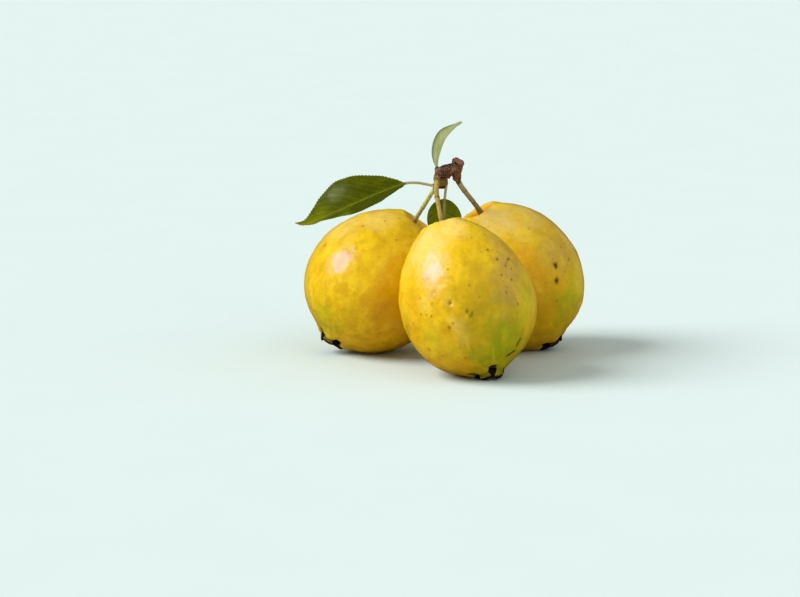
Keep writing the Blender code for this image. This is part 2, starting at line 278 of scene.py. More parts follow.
def tube_rings(path, radii, sides):
    """Rings of points round a path; the rings don't twist."""
    along = directions(path)
    across = np.array(Vector(along[0]).orthogonal().normalized())
    angles = 2 * np.pi * np.arange(sides) / sides
    rings = []
    for centre, radius, tangent in zip(path, radii, along):
        across = unit(across - tangent * across.dot(tangent))
        third = np.cross(tangent, across)
        circle = np.outer(np.cos(angles), across) + np.outer(np.sin(angles), third)
        rings.append(centre + radius * circle)
    return np.array(rings)


# -------------------- materials


class Nodes:
    """A short way to write one material's nodes. Sizes are in millimetres."""

    def __init__(self, name, **constants):
        self.material = bpy.data.materials.new(name)
        self.material.use_nodes = True
        self.tree = self.material.node_tree
        self.shader = self.tree.nodes["Principled BSDF"]
        for socket, value in constants.items():
            self.shader.inputs[socket.replace("_", " ")].default_value = value
        self.place = self.node("TexCoord", {}, "Object")

    def node(self, kind, inputs, output=0, **settings):
        made = self.tree.nodes.new("ShaderNode" + kind)
        for key, value in settings.items():
            setattr(made, key, value)
        for key, value in inputs.items():
            if isinstance(value, bpy.types.NodeSocket):
                self.tree.links.new(value, made.inputs[key])
            else:
                made.inputs[key].default_value = value
        return made.outputs[output]

    def noise(self, size, detail=3.0, roughness=0.5, distortion=0.0, vector=None):
        return self.node("TexNoise", {
            "Vector": vector or self.place, "Scale": 1 / (size * MM), "Detail": detail,
            "Roughness": roughness, "Distortion": distortion}, "Fac")

    def cells(self, size, output="Distance", feature="F1"):
        return self.node("TexVoronoi", {"Vector": self.place, "Scale": 1 / (size * MM)}, output,
                         feature=feature)

    def mask(self, name):
        return self.node("Attribute", {}, "Fac", attribute_name=name)

    def clamp(self, value):
        return self.node("Clamp", {"Value": value})

    def times(self, a, b):
        return self.node("Math", {0: a, 1: b}, operation="MULTIPLY")

    def plus(self, a, b):
        return self.node("Math", {0: a, 1: b}, operation="ADD")

    def ramp(self, value, low, high, start=0.0, end=1.0):
        return self.node("MapRange", {"Value": value, "From Min": low, "From Max": high, "To Min": start,
                                      "To Max": end}, interpolation_type="SMOOTHSTEP")

    def mix(self, share, a, b):
        a, b = (x if isinstance(x, bpy.types.NodeSocket) else (*x, 1) for x in (a, b))
        return self.node("Mix", {0: share, 6: a, 7: b}, 2, data_type="RGBA")

    def paint(self, colour, *coats):
        """Lays coats over a first colour; each is its share and its colour."""
        for share, tint in coats:
            colour = self.mix(share, colour, tint)
        return colour

    def bump(self, height, distance, over=None):
        """A normal raised by height, over an earlier one if that is given."""
        inputs = {"Height": height, "Distance": distance * MM}
        if over is not None:
            inputs["Normal"] = over
        return self.node("Bump", inputs)

    def finish(self, colour, roughness, normal):
        for socket, value in (("Base Color", colour), ("Roughness", roughness), ("Normal", normal)):
            self.tree.links.new(value, self.shader.inputs[socket])
        return self.material


def scaled(colour, factor):
    """A darker or a lighter colour."""
    return tuple(min(1, factor * c) for c in colour)


SKIN_COAT = 0.85                        # the wax on sound skin; scars and rust have hardly any
SCARRED_COAT = 0.05
# Tints laid in patches. Besides the skin's own colour, the pale, lemon and tan tints also lay painted sheen
# and painted reflection, and the amber and gold tints painted shade.
TINTS = {
    "amber": (0.80, 0.45, 0.002),
    "gold": (0.66, 0.43, 0.001),
    "tan": (0.64, 0.425, 0.065),
    "pale": (0.91, 0.665, 0.155),
    "lemon": (0.77, 0.655, 0.022),
    "green": (0.365, 0.455, 0.001),
}


def skin_material():
    n = Nodes("guava_skin", Subsurface_Weight=0.10, Subsurface_Radius=(1.0, 0.45, 0.1),
              Subsurface_Scale=0.0010, IOR=1.40, Specular_IOR_Level=0.10, Coat_Weight=SKIN_COAT,
              Coat_Roughness=0.24, Coat_IOR=1.45)
    patches = n.noise(7.5, 3, 0.5, 0.5)
    flecks = n.noise(1.9, 3, 0.65)
    uneven = n.ramp(patches, 0.25, 0.75, 0.74, 1.16)
    # Among these tints, amber and gold also lay painted shade between and below the fruits.
    tints = [(n.clamp(n.times(n.mask(kind), uneven)), tint) for kind, tint in TINTS.items()]
    glands = n.ramp(n.cells(1.35), 0.10, 0.26, 1, 0)
    dots = n.times(n.ramp(n.cells(2.7), 0.05, 0.17, 1, 0), n.mask("dotted"))
    chosen = n.ramp(n.node("SeparateColor", {"Color": n.cells(2.7, "Color")}), 0.66, 0.70, 0, 0.8)
    streaks, scar, russet, rust = n.mask("streaks"), n.mask("scar"), n.mask("russet"), n.clamp(n.mask("rust"))
    colour = n.paint(
        (0.84, 0.545, 0.003),
        (n.ramp(n.noise(24, 2, 0.5, 0.5), 0.36, 0.64), (0.92, 0.635, 0.008)),
        (n.ramp(patches, 0.47, 0.68, 0, 0.62), (0.68, 0.40, 0.002)),
        *tints,
        (n.ramp(streaks, 0.52, 0.80, 0, 0.60), (0.56, 0.36, 0.002)),
        (n.ramp(streaks, 0.48, 0.18, 0, 0.52), (1.0, 0.77, 0.03)),
        (n.ramp(flecks, 0.32, 0.48, 0.28, 0), (0.54, 0.32, 0.002)),
        (n.ramp(flecks, 0.54, 0.74, 0, 0.20), (1.0, 0.79, 0.02)),
        (n.times(glands, n.ramp(patches, 0.35, 0.65, 0.03, 0.24)), (0.44, 0.28, 0.005)),
        (n.times(dots, chosen), (0.16, 0.075, 0.010)),
        (rust, (0.60, 0.235, 0.010)),
        # russet: rust-brown skin, and also painted shade along the dipped near rim of the stem pit
        (russet, (0.32, 0.170, 0.020)),
        (scar, (0.085, 0.030, 0.006)),
        # painted shade: the splits between the sepals, painted near black
        (n.mask("hollow"), (0.012, 0.007, 0.003)))
    roughness = n.plus(n.ramp(n.noise(2.4, 3, 0.6), 0.3, 0.7, 0.36, 0.50), n.times(n.plus(scar, rust), 0.2))
    dull = n.plus(n.plus(rust, russet), scar)
    n.tree.links.new(n.ramp(dull, 0, 0.6, SKIN_COAT, SCARRED_COAT), n.shader.inputs["Coat Weight"])
    peel = n.plus(n.times(n.noise(1.5, 3, 0.55), 0.9), n.times(glands, -0.22))
    return n.finish(colour, roughness, n.bump(peel, 0.075, n.bump(n.noise(4.5, 2, 0.5), 0.46)))


def calyx_material():
    n = Nodes("dry_calyx", IOR=1.4, Specular_IOR_Level=0.25)
    grain = n.noise(0.9, 5, 0.7)
    streaks = n.noise(2.2, 4, 0.65)
    green = n.paint(
        (0.25, 0.235, 0.004),
        (n.ramp(streaks, 0.35, 0.65), (0.42, 0.40, 0.020)),
        (n.ramp(grain, 0.50, 0.32, 0, 0.6), (0.085, 0.055, 0.008)))
    dark = n.mix(n.ramp(grain, 0.4, 0.7), (0.008, 0.005, 0.003), (0.045, 0.024, 0.010))
    colour = n.paint(
        (0.010, 0.006, 0.003),
        (n.ramp(grain, 0.35, 0.65), (0.045, 0.024, 0.008)),
        (n.mask("fresh"), green),
        (n.ramp(n.noise(0.35, 3), 0.56, 0.72, 0, 0.35), (0.165, 0.105, 0.045)),
        # dark dry tissue, with painted shade: on the sepals' edges, ends and inner faces, and over the whole
        # cup
        (n.times(n.mask("edge"), n.ramp(streaks, 0.30, 0.55, 0.75, 1)), dark),
        (n.mask("stamen"), (0.22, 0.135, 0.060)))
    normal = n.bump(n.plus(grain, n.noise(0.3, 3)), 0.20)
    return n.finish(colour, n.ramp(grain, 0.3, 0.7, 0.62, 0.9), normal)


def stalk_material(name, upper, lower, foot):
    n = Nodes(name, IOR=1.45, Specular_IOR_Level=0.25, Specular_Tint=(1.0, 0.9, 0.5, 1))
    drawn_out = n.node("Mapping", {"Vector": n.place, "Scale": (1, 1, 0.22)})
    streaks = n.noise(1.1, 4, 0.6, vector=drawn_out)
    freckles = n.ramp(n.cells(0.95), 0.13, 0.24, 1, 0)
    bark = n.mix(n.ramp(streaks, 0.35, 0.65), (0.085, 0.036, 0.020), (0.215, 0.105, 0.058))
    colour = n.paint(
        upper,
        (n.ramp(n.mask("along"), 0.1, 0.85), lower),
        (n.ramp(streaks, 0.42, 0.72, 0, 0.50), scaled(lower, 0.55)),
        (n.ramp(streaks, 0.50, 0.30, 0, 0.40), scaled(upper, 1.35)),
        (n.times(freckles, n.ramp(n.noise(2.5), 0.42, 0.62, 0, 0.75)), (0.130, 0.070, 0.018)),
        (n.times(n.mask("node"), n.ramp(n.noise(0.8), 0.3, 0.6, 0.55, 1)), (0.060, 0.030, 0.010)),
        (n.mask("foot"), foot),
        (n.mask("start"), bark))
    normal = n.bump(n.plus(streaks, n.times(freckles, 0.35)), 0.16)
    return n.finish(colour, n.ramp(streaks, 0.3, 0.7, 0.48, 0.66), normal)


def bark_material():
    n = Nodes("twig_bark", IOR=1.4, Specular_IOR_Level=0.2, Specular_Tint=(1.0, 0.9, 0.6, 1))
    coarse = n.noise(2.0, 5, 0.65, 0.6)
    fine = n.noise(0.55, 4, 0.7)
    wood = n.mix(n.ramp(fine, 0.35, 0.65), (0.320, 0.135, 0.085), (0.500, 0.260, 0.170))
    colour = n.paint(
        (0.095, 0.045, 0.024),
        (n.ramp(coarse, 0.36, 0.62), (0.260, 0.145, 0.085)),
        (n.ramp(n.noise(2.2, 4, 0.7), 0.51, 0.62, 0, 0.75), (0.40, 0.30, 0.21)),
        (n.ramp(fine, 0.44, 0.28, 0, 0.70), (0.030, 0.014, 0.007)),
        (n.times(n.mask("young"), n.ramp(coarse, 0.66, 0.42, 0.20, 1)), (0.185, 0.150, 0.036)),
        (n.mask("groove"), (0.018, 0.008, 0.005)),
        (n.mask("cut"), wood),
        (n.mask("lip"), (0.030, 0.012, 0.007)),
        (n.mask("tip"), (0.060, 0.018, 0.012)))
    normal = n.bump(n.plus(coarse, n.times(fine, 0.8)), 0.40)
    return n.finish(colour, n.ramp(coarse, 0.3, 0.7, 0.72, 0.92), normal)


def leaf_material(name, upper, upper_light, under, under_light, vein):
    n = Nodes(name, IOR=1.45, Specular_IOR_Level=0.12, Specular_Tint=(1.0, 1.0, 0.25, 1))
    broad = n.noise(9, 3, 0.55, 0.6)
    fine = n.noise(1.3, 4, 0.6)
    net = n.ramp(n.cells(1.15, feature="DISTANCE_TO_EDGE"), 0.02, 0.10, 1, 0)
    spots = n.times(n.ramp(n.cells(4.2), 0.06, 0.12, 1, 0), n.ramp(n.noise(12), 0.50, 0.60, 0, 0.6))
    top = n.paint(
        upper,
        (n.ramp(broad, 0.35, 0.66), upper_light),
        (n.ramp(fine, 0.35, 0.65, 0, 0.35), scaled(upper, 0.6)),
        (n.mask("yellowed"), scaled(upper_light, 1.55)),
        # painted shade: one half of the blade darkened on the upper side
        (n.mask("dusky"), scaled(upper, 0.50)),
        (n.times(net, 0.10), vein),
        (n.times(n.mask("vein"), 0.52), vein),
        # painted sheen: a pale gloss laid as colour on the upper side
        (n.times(n.mask("bloom"), n.ramp(fine, 0.25, 0.7, 0.4, 0.9)), (0.29, 0.34, 0.17)))
    low = n.paint(
        under,
        (n.ramp(broad, 0.35, 0.66), under_light),
        (n.times(net, 0.22), scaled(under, 0.62)),
        (n.mask("vein"), scaled(under_light, 1.25)),
        # the same painted shade on the underside
        (n.mask("dusky"), scaled(under, 0.55)))
    colour = n.paint(
        top,
        (n.mask("under"), low),
        (n.mask("petiole"), (0.52, 0.50, 0.27)),
        (n.times(n.mask("rim"), 0.45), (0.19, 0.17, 0.030)),
        (spots, (0.07, 0.035, 0.012)))
    normal = n.bump(n.plus(n.noise(0.9, 3), n.times(net, -0.4)), 0.08)
    return n.finish(colour, n.ramp(fine, 0.3, 0.7, 0.38, 0.52), normal)


# -------------------- fruits

# Soft patches of ripeness, and of painted sheen, painted reflection and painted shade: angle from the stem
# end and round the axis, radius (degrees), strength.
PATCHES = {
    "front": {
        "green": (
            (141, 301, 26, 1.0), (146, 276, 20, 0.85), (122, 285, 13, 0.6), (134, 298, 38, 0.4),
            (160, 320, 26, 0.8), (116, 221, 8, 0.45), (150, 20, 26, 0.7), (60, 120, 22, 0.35)),
        "gold": (
            (98, 277, 19, 0.95), (108, 262, 9, 0.6), (82, 290, 15, 0.75), (124, 264, 10, 0.55),
            (156, 225, 14, 0.6), (96, 226, 8, 0.3), (111, 245, 6, 0.6), (116, 267, 8, 0.9)),
        "tan": (
            (84, 320, 19, 1.0), (100, 311, 17, 0.95), (68, 326, 14, 0.7), (118, 300, 9, 0.6),
            (88, 304, 11, 0.7), (96, 110, 24, 0.6)),
        "pale": (
            (42, 240, 26, 0.95), (60, 246, 20, 0.8), (33, 280, 20, 0.9), (114, 255, 7, 0.6),
            (123, 256, 7, 0.45), (107, 253, 5, 0.35), (90, 233, 8, 0.3)),
        "lemon": (
            (116, 326, 15, 0.75), (134, 322, 13, 0.6), (104, 334, 17, 0.9), (112, 228, 9, 0.5),
            (130, 235, 12, 0.4)),
        "amber": (
            (86, 216, 14, 0.7), (104, 208, 14, 0.7), (118, 238, 10, 0.3), (100, 40, 26, 0.5)),
    },
    "right": {
        "amber": (
            (76, 290, 14, 0.9), (96, 287, 17, 0.9), (118, 278, 16, 0.8), (100, 150, 26, 0.6)),
        "tan": (
            (84, 322, 22, 0.8), (60, 338, 20, 0.6), (22, 280, 14, 0.5)),
        "green": (
            (128, 312, 18, 0.6), (116, 320, 12, 0.3), (140, 60, 28, 0.7)),
        "pale": (
            (34, 288, 22, 1.0), (58, 300, 12, 0.3), (44, 330, 22, 0.5), (114, 346, 16, 0.75),
            (84, 350, 16, 0.6)),
        "lemon": (
            (118, 334, 20, 0.7),),
        "gold": (
            (136, 286, 26, 1.0), (114, 290, 19, 1.0), (50, 340, 10, 0.3)),
    },
    "left": {
        "amber": (
            (72, 276, 14, 0.5), (92, 292, 26, 1.0), (90, 80, 26, 0.5)),
        "tan": (
            (30, 232, 12, 0.15), (18, 120, 14, 0.6)),
        "green": (
            (130, 150, 30, 0.9), (146, 240, 22, 0.5)),
        "pale": (
            (44, 222, 18, 0.6), (70, 200, 22, 0.5)),
        "gold": (
            (100, 160, 14, 0.6), (34, 262, 12, 0.1)),
    },
}
# Small marks: angle from the stem end and round the axis (degrees), size (mm).
MARKS = {
    "front": {
        "dent": (
            (96, 256, 1.25), (80, 130, 1.3)),
        "smudge": (
            (105, 267, 0.8), (109, 269, 0.9), (107, 271, 0.5), (112, 248, 0.7), (110, 252, 0.5),
            (98, 281, 0.45), (88, 276, 0.4)),
        "speck": (
            (75, 312, 0.8), (76, 326, 0.85), (77, 323, 0.6), (81, 317, 0.6), (87, 308, 0.7),
            (92, 316, 0.8), (100, 306, 0.65), (110, 316, 0.75), (66, 308, 0.75), (84, 322, 0.5),
            (79, 320, 0.5), (96, 226, 0.55), (98, 232, 0.55), (100, 236, 0.55), (85, 229, 0.45),
            (72, 262, 0.5), (131, 224, 0.5), (140, 247, 0.45), (132, 229, 0.4), (91, 248, 0.4),
            (60, 40, 0.8), (95, 80, 0.9), (104, 100, 0.6), (52, 300, 0.4)),
        "bruise": (
            (100, 213, 0.9), (122, 215, 0.9), (100, 70, 1.6), (92, 240, 0.8)),
    },
    "right": {
        "speck": (
            (92.6, 311, 1.7), (94, 311, 1.5), (103, 305, 1.9), (59, 312, 0.6), (84, 330, 0.5),
            (86, 333, 0.45), (95, 330, 0.5), (84, 338, 0.5), (101, 318, 0.45), (118, 298, 0.5),
            (96, 60, 0.8), (88, 20, 0.7), (75, 180, 0.8)),
        "bruise": (
            (103, 304, 1.3), (110, 90, 1.8)),
        "dent": (
            (70, 100, 1.4),),
    },
    "left": {
        "speck": (
            (53, 260, 0.5), (60, 220, 0.6), (44, 230, 0.5), (100, 120, 0.9), (75, 90, 0.7),
            (110, 180, 0.7)),
        "bruise": (
            (30, 236, 0.9), (90, 200, 1.6)),
        "dent": (
            (85, 150, 1.4),),
    },
}
# Corky scar lines: points given as angle from the stem end and round the axis, then half the width.
SCARS = {
    "front": ((((138, 323), (142, 321), (144, 321)), 0.50), (((149, 321), (151, 316), (152, 310)), 0.80),
              (((99, 197), (102, 195), (106, 197)), 0.35)),
    "right": ((((96, 128), (101, 133), (108, 134)), 0.6),),
    "left": ((((78, 176), (84, 180), (92, 178), (97, 172)), 0.55),),
}
# Where fine dark dots gather: angle from the stem end, angle round the axis, radius (degrees).
DOTTED = {
    "front": ((84, 316, 20), (98, 228, 12), (135, 235, 14), (90, 90, 26)),
    "right": ((88, 322, 22), (60, 300, 14), (95, 160, 26)),
    "left": ((58, 240, 20), (90, 170, 26)),
}
# How a kind of mark looks, with distances as shares of its size: how far it spreads; how dark it is,
# then how rusty, each as a strength and the distances between which it fades; its depth (mm), its width.
MarkLook = namedtuple("MarkLook", "spread scar russet depth width")
MARK_LOOKS = {
    "speck": MarkLook(0.85, (0.95, 0.35, 1.15), (0.22, 0.8, 2.2), 0.06, 0.8),
    "bruise": MarkLook(1, (0, 0, 1), (0.60, 0.3, 1.5), 0.05, 1),
    "smudge": MarkLook(1, (0.60, 0.2, 1.3), (0.35, 0.6, 2.4), 0.12, 0.9),
    "dent": MarkLook(1, (0.75, 0.1, 0.75), (0, 0, 1), 0.75, 0.75),
}
# How green the skin stays round the calyx; how deep it splits between the sepals (mm); how
# orange-brown the stem pit is; how far the pit's far rim rises and its near rim dips (mm); how
# green the sepals still are.
FruitLook = namedtuple("FruitLook", "green_end split pit_rust pit_tilt pit_dip fresh")
FRUIT_LOOKS = {
    "front": FruitLook(0.95, 2.6, 0.30, 0.0, 0.0, 1.0),
    "right": FruitLook(0.45, 0.6, 0.85, 0.8, 0.5, 0.05),
    "left": FruitLook(0.60, 1.6, 0.35, 0.9, 1.7, 0.45),
}
RIB_RADIUS = 26                         # size of the round that lines along the skin are drawn on
PIT_FOLD_RADIUS = 9


def fruit_frame(fruit):
    """The turn and the centre that take a fruit's own frame to the cluster's."""
    axis = Vector((*fruit.lean, 1)).normalized()
    return np.array(UP.rotation_difference(axis).to_matrix()), np.array(fruit.centre)


def calyx_angle(fruit):
    return math.atan2(-fruit.lean[1], -fruit.lean[0]) + math.radians(fruit.calyx_spread)


def grid_angles(rings, segments):
    """Angles from the stem end and round the axis, for a grid over a whole fruit."""
    t = np.linspace(0, 1, rings + 1)
    theta = (np.pi * t - POLE_CROWDING * np.sin(2 * np.pi * t))[:, None]
    phi = (2 * np.pi * np.arange(segments) / segments)[None, :]
    return np.broadcast_arrays(theta, phi)


def skin_points(fruit, theta, phi):
    """Points of the skin in the fruit's own frame, which has +Z towards the stem."""
    c, s = np.cos(theta), np.sin(theta)
    swell = 1 + sum(a * s * np.sin(k * phi + p) for (k, a), p in zip(LUMPS, fruit.lumps))
    rho = fruit.radius * s * (1 - fruit.taper * c + fruit.square * c * c) * swell
    axial = fruit.length / 2 * c
    pit = STEM_RIM[0] * bell(rho, *STEM_RIM[1:]) - STEM_PIT[0] * bell(rho, 0, STEM_PIT[1])
    ridge = np.cos(SEPALS * (phi - calyx_angle(fruit)))
    window = smoothstep(*PUCKER_INNER, rho) * fall(*PUCKER_OUTER, rho)
    crown = CALYX_PIT[0] * fall(*CALYX_PIT[1:], rho) - COLLAR[0] * bell(rho, *COLLAR[1:])
    axial = axial + np.where(c > 0, pit, crown - PUCKER_HEIGHT * ridge * window)
    return stacked(rho * np.cos(phi), rho * np.sin(phi), axial)


def sphere_point(theta, phi):
    theta, phi = np.radians(theta), np.radians(phi)
    return stacked(np.sin(theta) * np.cos(phi), np.sin(theta) * np.sin(phi), np.cos(theta))


def distance_to_line(points, line):
    """Distance from each point to a line of straight stretches."""
    best = np.full(points.shape[:-1], np.inf)
    for a, b in zip(line, line[1:]):
        share = np.clip(((points - a) @ (b - a)) / ((b - a) @ (b - a)), 0, 1)
        best = np.minimum(best, np.linalg.norm(points - a - share[..., None] * (b - a), axis=-1))
    return best


class Skin:
    """A fine grid over one fruit: its points, how far each is raised (mm), and its colour masks."""

    def __init__(self, place, fruit, number):
        self.place, self.fruit, self.look = place, fruit, FRUIT_LOOKS[place]
        self.turn, self.centre = fruit_frame(fruit)
        self.theta, self.phi = (angle[1:-1] for angle in grid_angles(FRUIT_RINGS, FRUIT_SEGMENTS))
        self.base = skin_points(fruit, self.theta, self.phi)
        self.seed = 100 * number
        self.shift = np.array([number * 211.0, 0, 0])       # other noise for each fruit
        self.rho = np.hypot(self.base[..., 0], self.base[..., 1])
        self.stem_side = self.base[..., 2] > 0
        self.near_stem = np.where(self.stem_side, fall(5.5, 11, self.rho), 0)
        self.near_calyx = np.where(self.stem_side, 0, fall(7, 15, self.rho))
        away = self.turn.T @ np.array([0, 1, 0])
        self.to_back = np.cos(self.phi - math.atan2(away[1], away[0]))
        self.near_rim = np.where(self.stem_side, np.clip(-self.to_back, 0, 1) ** 2, 0)
        self.facing = sphere_point(np.degrees(self.theta), np.degrees(self.phi))
        self.warp = 1 + 0.30 * self.noise(9, 1) + 0.18 * self.noise(3.5, 2)
        self.height = np.zeros(self.rho.shape)
        self.masks = {kind: np.zeros(self.rho.shape) for kind in (*TINTS, "dotted", "scar", "russet")}

    def noise(self, size, number):
        return noise(self.base + self.shift, size, self.seed + number)

    def lines(self, radius, length, size, number, bends=0):
        """Noise that is drawn out from end to end; length is small for long lines."""
        phi = self.phi + bends
        points = stacked(radius * np.cos(phi), radius * np.sin(phi), length * self.base[..., 2])
        return noise(points + self.shift, size, self.seed + number)

    def within(self, a, b, radius, low, high):
        """1 near a place given by its two angles and 0 far from it; low and high are shares of radius."""
        angle = np.degrees(np.arccos(np.clip(self.facing @ sphere_point(a, b), -1, 1)))
        return fall(low, high, angle / radius * self.warp)

    def point(self, a, b):
        return skin_points(self.fruit, np.radians(a), np.radians(b))

    def add(self, kind, values):
        """Lifts a mask to the values that are higher than it is."""
        self.masks[kind] = np.maximum(self.masks[kind], values)


def raise_skin(skin):
    """Soft lumps everywhere, ribs that run out of the stem pit, folds that run into it."""
    rho, look = skin.rho, skin.look
    body = smoothstep(3, 12, rho)
    height = body * (0.38 * skin.noise(19, 3) + 0.22 * skin.noise(9, 4) + 0.165 * skin.noise(4.8, 5))
    height += body * 0.058 * fractal(skin.base + skin.shift, 2.4, skin.seed + 6, 2)
    # The rim of the stem pit stands higher on the far side, so the pit opens a little to the front.
    height += np.where(skin.stem_side, look.pit_tilt * skin.to_back * bell(rho, 9.5, 4.5), 0)
    height -= look.pit_dip * skin.near_rim * bell(rho, 8.0, 3.2) * (1 + 0.3 * skin.noise(3, 21))
    rib_zone = np.where(skin.stem_side, smoothstep(5, 10, rho) * fall(20, 32, rho), 0)
    height += rib_zone * 0.42 * skin.lines(RIB_RADIUS, 0.16, 8.5, 8)
    height += skin.near_stem * smoothstep(1.5, 5, rho) * 0.30 * skin.lines(PIT_FOLD_RADIUS, 0.1, 2.4, 9)
    height += skin.near_calyx * smoothstep(3.5, 6, rho) * 0.28 * skin.lines(PIT_FOLD_RADIUS, 0.1, 2.6, 10)
    skin.height += height


def ripen(skin):
    """Patches of ripeness and of painted light and shade, green skin round the calyx, tan skin in the stem
    pit, streaks, fine dots.
    """
    for kind, patches in PATCHES[skin.place].items():
        for a, b, radius, strength in patches:
            skin.add(kind, strength * skin.within(a, b, radius, 0.35, 1.25))
    for a, b, radius in DOTTED[skin.place]:
        skin.add("dotted", skin.within(a, b, radius, 0.5, 1.3))
    skin.add("green", skin.look.green_end * skin.near_calyx * (1 + 0.5 * skin.noise(6, 11)).clip(0, 1))
    skin.add("tan", 0.55 * skin.near_stem * (1 + 0.7 * skin.noise(4, 12)).clip(0, 1))
    bends = 0.10 * skin.noise(12, 18)
    broad, thin = (skin.lines(RIB_RADIUS, 0.45, size, k, bends) for size, k in ((6, 16), (2.8, 17)))
    shown = smoothstep(0.7, 1.5, skin.theta) * smoothstep(4, 14, skin.rho)
    skin.masks["streaks"] = (0.5 + 0.5 * shown * (0.6 * broad + 0.3 * thin)).clip(0, 1)


def mark(skin):
    """Specks, bruises, smudges and dents, then corky scar lines."""
    ragged = 1 + 0.45 * skin.noise(1.6, 13)
    broken = 1 + 0.9 * skin.noise(1.0, 15)
    for kind, marks in MARKS[skin.place].items():
        look = MARK_LOOKS[kind]
        for a, b, size in marks:
            away = np.linalg.norm(skin.base - skin.point(a, b), axis=-1) / size * ragged / look.spread
            skin.add("scar", look.scar[0] * fall(*look.scar[1:], away * broken if kind == "smudge" else away))
            skin.add("russet", look.russet[0] * fall(*look.russet[1:], away))
            skin.height -= look.depth * bell(away, 0, look.width)
            if kind == "dent":
                skin.height += 0.20 * bell(away, 1.5, 0.55)
                # A pale ring round the dent: a painted highlight on its raised rim.
                skin.add("pale", 0.45 * bell(away, 1.6, 0.5))
    for line, half in SCARS[skin.place]:
        away = distance_to_line(skin.base, [skin.point(a, b) for a, b in line]) / half * ragged
        skin.add("scar", 0.85 * fall(0.5, 1.3, away))
        skin.add("russet", 0.55 * fall(0.8, 3.0, away))
        skin.height += 0.10 * bell(away, 1.6, 0.6) - 0.08 * bell(away, 0, 0.7)


def finish_ends(skin):
    """Splits the skin between the sepals and paints the split near black as painted shade; browns both pits,
    with painted shade along the stem pit's near rim.
    """
    rho, look = skin.rho, skin.look
    turns = (skin.phi - calyx_angle(skin.fruit)) * SEPALS / (2 * np.pi)
    off = np.abs(turns % 1 - 0.5) * 2 * np.pi / SEPALS * rho
    below = np.where(skin.stem_side, 0, 1)
    split = below * fall(1.1, 2.3, off) * smoothstep(4.5, 6.0, rho)
    split *= fall(11.2, 12.4, rho + 0.15 * off + 0.25 * skin.noise(1.8, 20))
    skin.height -= look.split * split
    # Painted shade: the split is painted near black.
    skin.masks["hollow"] = np.clip(1.3 * split, 0, 1)
    skin.add("russet", 0.9 * below * fall(6.0, 7.4, rho))
    pit_floor = fall(1.8, 4.2, rho * (1 + 0.2 * skin.noise(2, 14)))
    skin.add("russet", 0.85 * np.where(skin.stem_side, pit_floor, 0))
    # Painted shade in the crease along the dipped near rim of the stem pit.
    rim_crease_shade = skin.near_rim * bell(rho + 0.5 * skin.noise(2.2, 22), 5.6, 1.3)
    skin.add("russet", 0.45 * min(1, look.pit_dip) * rim_crease_shade)
    pit = np.where(skin.stem_side, fall(4.5, 8.0, rho), 0)
    skin.masks["rust"] = look.pit_rust * pit * (1 + 0.4 * skin.noise(2.6, 19))


def make_fruit(place, fruit, number, material):
    skin = Skin(place, fruit, number)
    for step in (raise_skin, ripen, mark, finish_ends):
        step(skin)
    raised = skin.base + grid_normals(skin.base) * skin.height[..., None]
    points = raised @ skin.turn.T + skin.centre
    points[..., 2] -= points[..., 2].min() + FLAT_SPOT_DEPTH
    points[..., 2] = np.maximum(points[..., 2], 0)
    name = f"guava_{place}"
    return piece(name, mesh_of(name, [loft(points, **skin.masks)]), material, f"fruit_{place}")


# -------------------- calyxes

# Where the outer face of a sepal runs: height above the cup's back, distance from the axis.
SEPAL_FACE = ((0.0, 8.0), (1.4, 8.0), (2.2, 7.7), (3.4, 6.9), (4.6, 6.0), (6.0, 4.9))
SEPAL_ROOT = 1.0                        # how far below the collar's crest a sepal starts
# The cup's outline, up its outside and down its inside: distance from the axis, height.
CUP_PROFILE = ((0.3, 0.0), (3.0, 0.0), (5.2, 0.1), (6.2, 1.0), (6.3, 2.6), (5.8, 3.6), (5.2, 3.2), (4.6, 1.7),
               (3.0, 0.9), (1.4, 0.75), (0.3, 0.8))
CUP_PROFILE_STEPS = 80
STAMENS = 34
STAMEN_STEPS = 7
STYLE_PATH = ((0, 0, 0.6), (0.05, 0, 1.6), (0.15, 0.1, 2.6), (0.2, 0.1, 3.1))
STYLE_RADII = (0.55, 0.4, 0.42, 0.2)


def drop_of(fruit):
    """How far the CAD lowered this fruit and its calyx to press its resting spot flat."""
    turn, centre = fruit_frame(fruit)
    points = skin_points(fruit, *grid_angles(CAD_FRUIT_RINGS, CAD_FRUIT_SEGMENTS)) @ turn.T + centre
    return points[..., 2].min() + FLAT_SPOT_DEPTH


def compass(phi):
    """The directions away from the axis and round it, at an angle."""
    return np.array([math.cos(phi), math.sin(phi), 0]), np.array([-math.sin(phi), math.cos(phi), 0])


